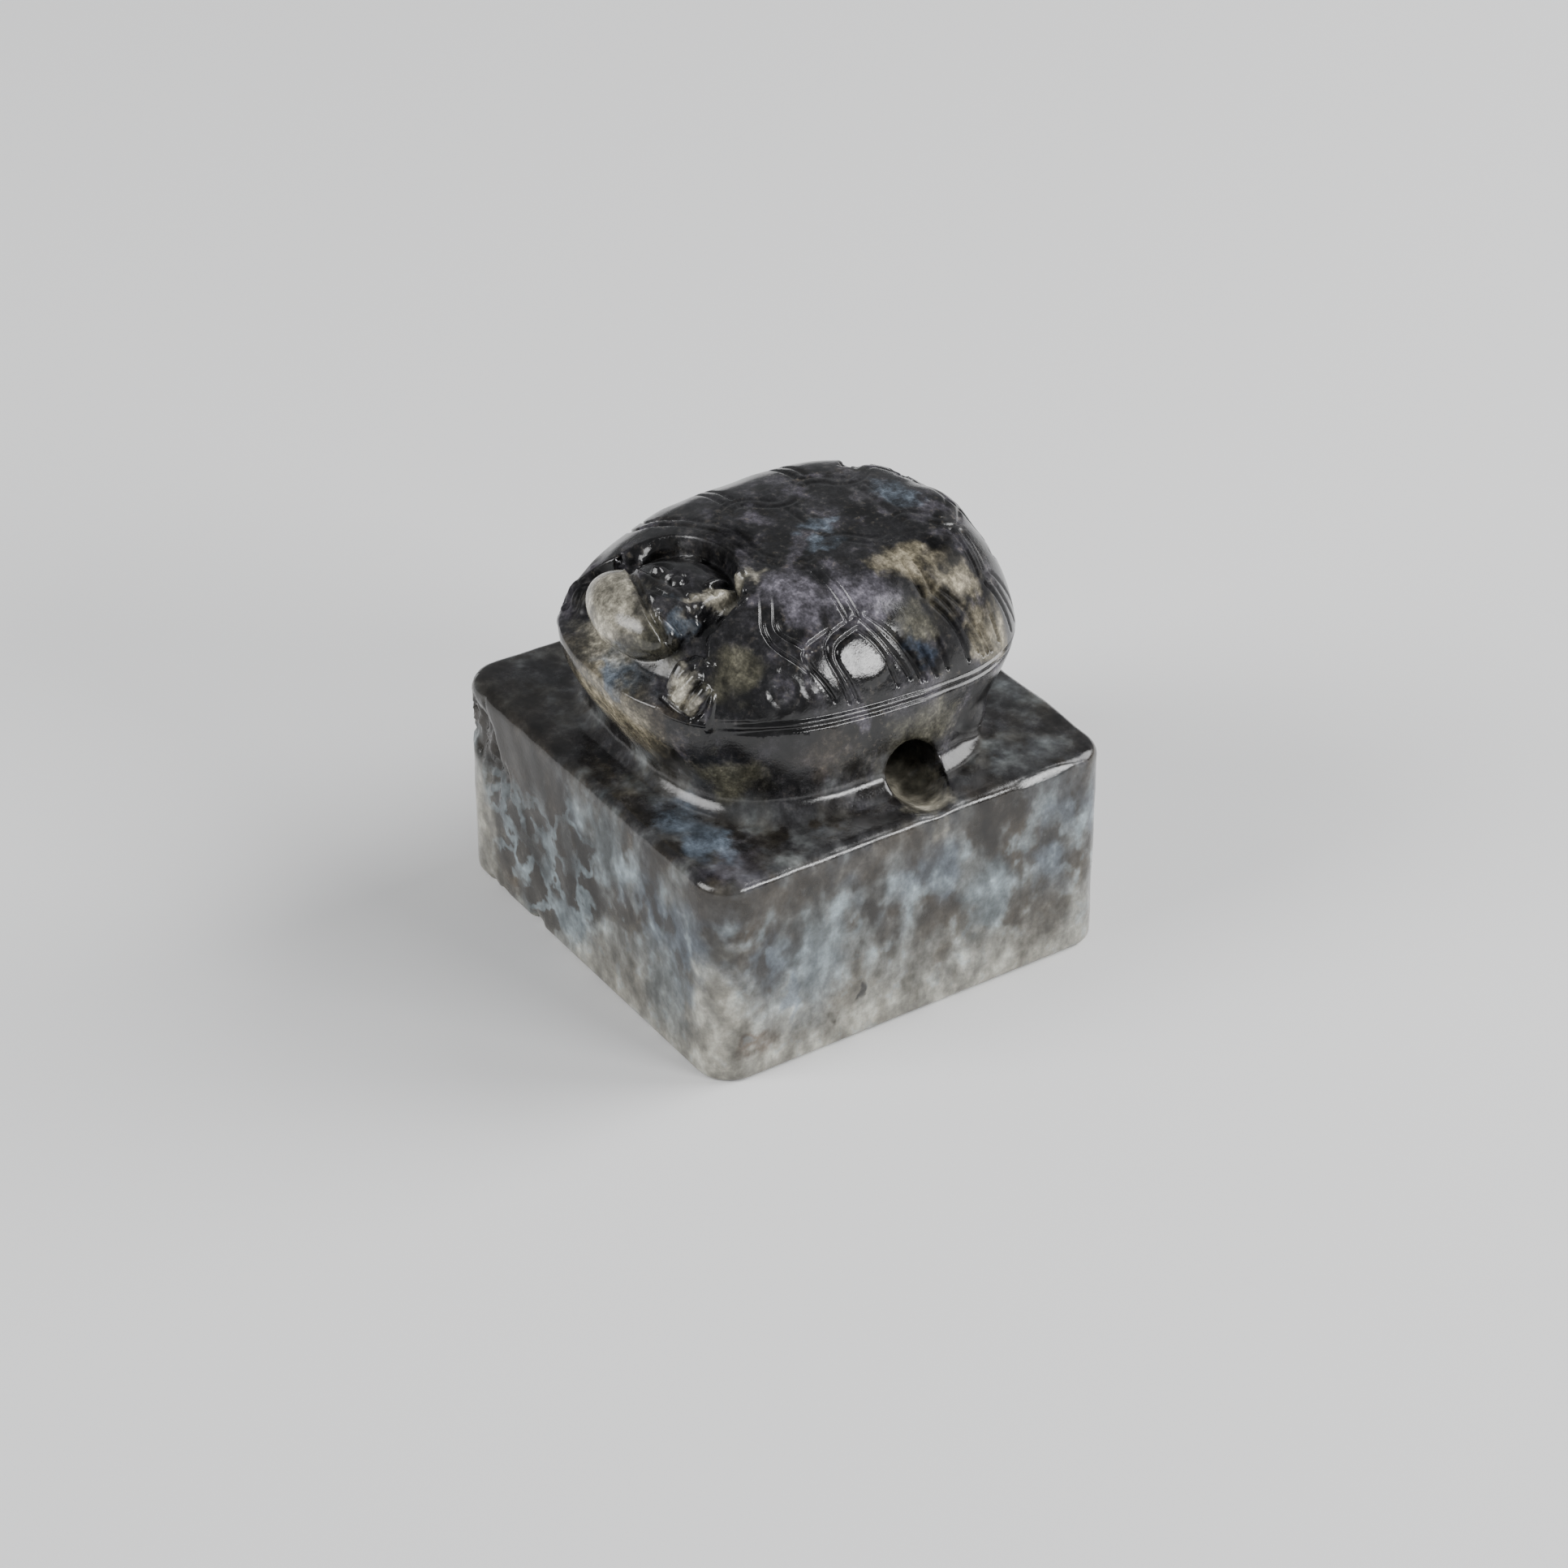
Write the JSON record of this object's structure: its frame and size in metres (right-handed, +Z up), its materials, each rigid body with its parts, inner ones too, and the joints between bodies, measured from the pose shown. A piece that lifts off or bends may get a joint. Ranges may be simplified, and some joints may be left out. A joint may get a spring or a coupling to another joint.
{
  "type": "tortoise seal",
  "caption": "Small square stone seal with a domed tortoise carved on top, a scaled shell, a drawn-in head and a cord hole through the belly.",
  "frame": {"origin": "centre of the flat seal face, on the surface the seal stands on", "axes": "+Z up through the tortoise, -Y towards the tortoise's head, X along the cord hole"},
  "size_m": [0.03, 0.029, 0.0272],
  "materials": {
    "mottled_jade": "polished grey-green stone, clouded dark brown and near black, with pale beige patches"
  },
  "bodies": {
    "root": {"tortoise_seal": "mottled_jade"}
  },
  "joints": []
}
